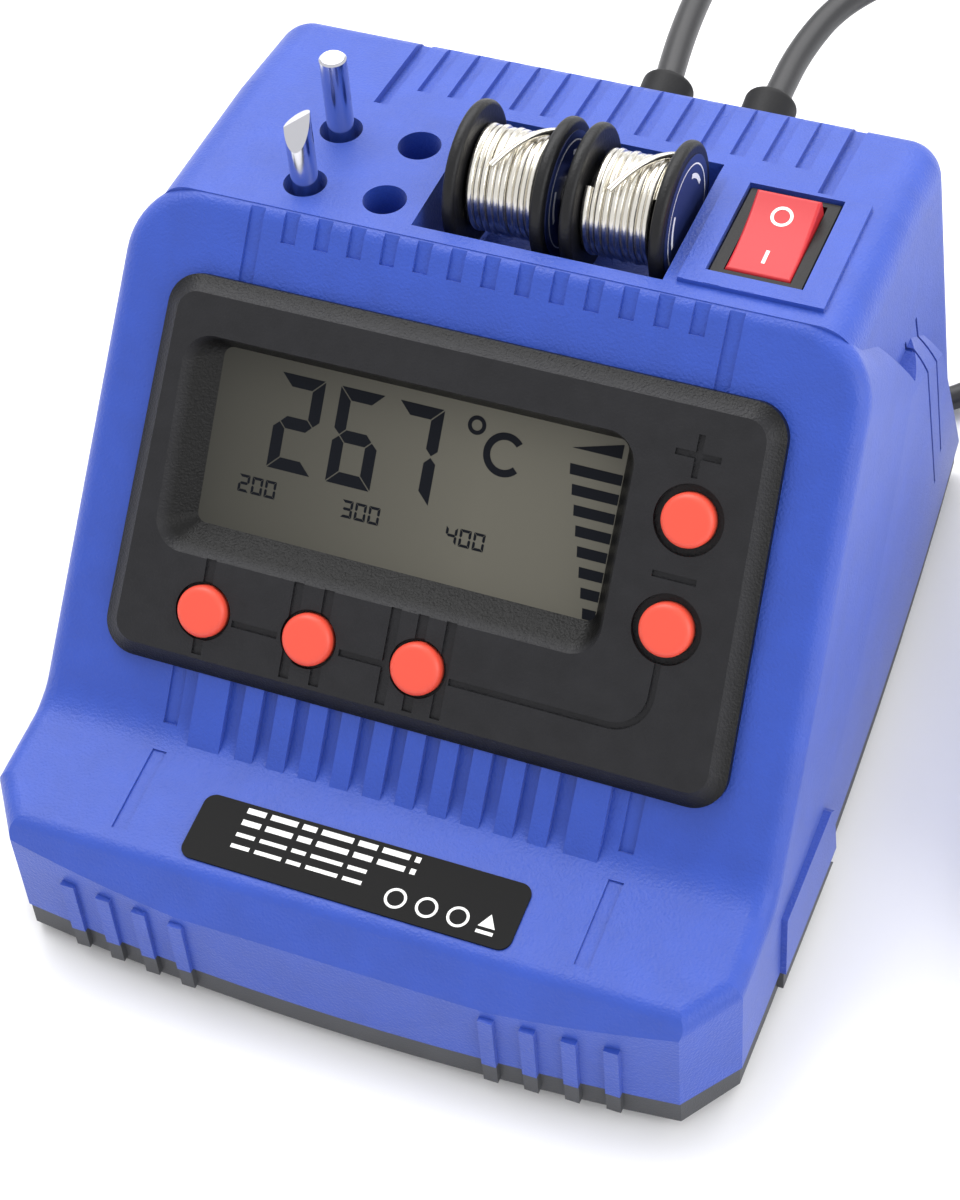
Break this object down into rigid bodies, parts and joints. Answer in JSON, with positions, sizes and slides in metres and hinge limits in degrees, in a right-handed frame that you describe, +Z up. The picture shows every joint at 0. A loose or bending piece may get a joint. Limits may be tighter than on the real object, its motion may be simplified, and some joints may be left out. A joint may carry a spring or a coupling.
{
  "type": "soldering iron station",
  "caption": "Bench soldering station with sloped display panel, five push buttons, power rocker, two solder reels, spare tip holes and corded iron.",
  "frame": {"origin": "on the bench, under the middle of the station and its iron", "axes": "+Z up, +X to the user's right, -Y towards the user"},
  "size_m": [0.233, 0.2574, 0.1125],
  "materials": {
    "shell": "fine texture",
    "tray": "fine texture",
    "bezel": "fine texture",
    "window": "polished",
    "display": "satin",
    "board": "satin",
    "button": "satin",
    "switch_case": "satin",
    "rocker": "satin",
    "reel": "satin",
    "solder": "bright drawn wire",
    "reel_label": "printed",
    "axle": "turned",
    "tip": "plated",
    "plate": "printed",
    "core": "laminated",
    "winding": "enamelled",
    "rubber": "matte",
    "screw": "zinc",
    "fuse": "satin",
    "cable": "matte",
    "plug": "moulded",
    "pin": "plated",
    "handle": "moulded",
    "barrel": "drawn",
    "bit": "tinned"
  },
  "bodies": {
    "station": {"upper_shell": "shell", "base_tray": "tray", "front_bezel": "bezel", "lcd_window": "window", "lcd_module": "display", "control_board": "board", "rocker_housing": "switch_case", "spool_axle": "axle", "rating_plate": "plate", "transformer_core": "core", "transformer_coil": "winding", "power_board": "board", "fuse_holder": "fuse", "mains_grommet": "rubber", "iron_grommet": "rubber", "mains_cord_tube": "cable", "mains_cord_coil": "cable", "mains_cord_tail": "cable", "iron_cord_tube": "cable", "iron_cord_coil": "cable", "iron_cord_tail": "cable", "plug_body": "plug", "plug_pin_1": "pin", "plug_pin_2": "pin", "iron_relief": "rubber", "iron_handle": "handle", "iron_collar": "plug", "iron_barrel": "barrel", "iron_tip": "bit", "foot_1": "rubber", "base_screw_1": "screw", "foot_2": "rubber", "base_screw_2": "screw", "foot_3": "rubber", "base_screw_3": "screw", "foot_4": "rubber", "base_screw_4": "screw"},
    "rocker": {"rocker": "rocker"},
    "tip_plain": {"tip_plain": "tip"},
    "tip_chisel": {"tip_chisel": "tip"},
    "button_preset_1": {"button_preset_1": "button"},
    "button_preset_2": {"button_preset_2": "button"},
    "button_preset_3": {"button_preset_3": "button"},
    "button_plus": {"button_plus": "button"},
    "button_minus": {"button_minus": "button"},
    "reel_left": {"spool_left": "reel", "solder_left": "solder", "spool_label_left": "reel_label"},
    "reel_right": {"spool_right": "reel", "solder_right": "solder", "spool_label_right": "reel_label"}
  },
  "joints": [
    {"name": "rocker_hinge", "type": "hinge", "parent": "station", "child": "rocker", "pos_m": [0.01146, 0.02407, 0.0938], "axis": [1, 0, 0], "range_deg": [-22, 0]},
    {"name": "button_preset_1_press", "type": "slide", "parent": "station", "child": "button_preset_1", "axis": [0, 0.7863, -0.6179], "range_m": [0, 0.0008], "stiffness_N_per_m": 400, "springref_m": -0.0004},
    {"name": "button_preset_2_press", "type": "slide", "parent": "station", "child": "button_preset_2", "axis": [0, 0.7863, -0.6179], "range_m": [0, 0.0008], "stiffness_N_per_m": 400, "springref_m": -0.0004},
    {"name": "button_preset_3_press", "type": "slide", "parent": "station", "child": "button_preset_3", "axis": [0, 0.7863, -0.6179], "range_m": [0, 0.0008], "stiffness_N_per_m": 400, "springref_m": -0.0004},
    {"name": "button_plus_press", "type": "slide", "parent": "station", "child": "button_plus", "axis": [0, 0.7863, -0.6179], "range_m": [0, 0.0008], "stiffness_N_per_m": 400, "springref_m": -0.0004},
    {"name": "button_minus_press", "type": "slide", "parent": "station", "child": "button_minus", "axis": [0, 0.7863, -0.6179], "range_m": [0, 0.0008], "stiffness_N_per_m": 400, "springref_m": -0.0004},
    {"name": "reel_left_spin", "type": "hinge", "parent": "station", "child": "reel_left", "pos_m": [-0.03053, 0.02438, 0.0985], "axis": [1, 0, 0], "continuous": true},
    {"name": "reel_right_spin", "type": "hinge", "parent": "station", "child": "reel_right", "pos_m": [-0.01133, 0.02438, 0.0985], "axis": [1, 0, 0], "continuous": true},
    {"name": "tip_plain_lift", "type": "slide", "parent": "station", "child": "tip_plain", "axis": [0, 0, 1], "range_m": [0, 0.03]},
    {"name": "tip_chisel_lift", "type": "slide", "parent": "station", "child": "tip_chisel", "axis": [0, 0, 1], "range_m": [0, 0.03]}
  ]
}
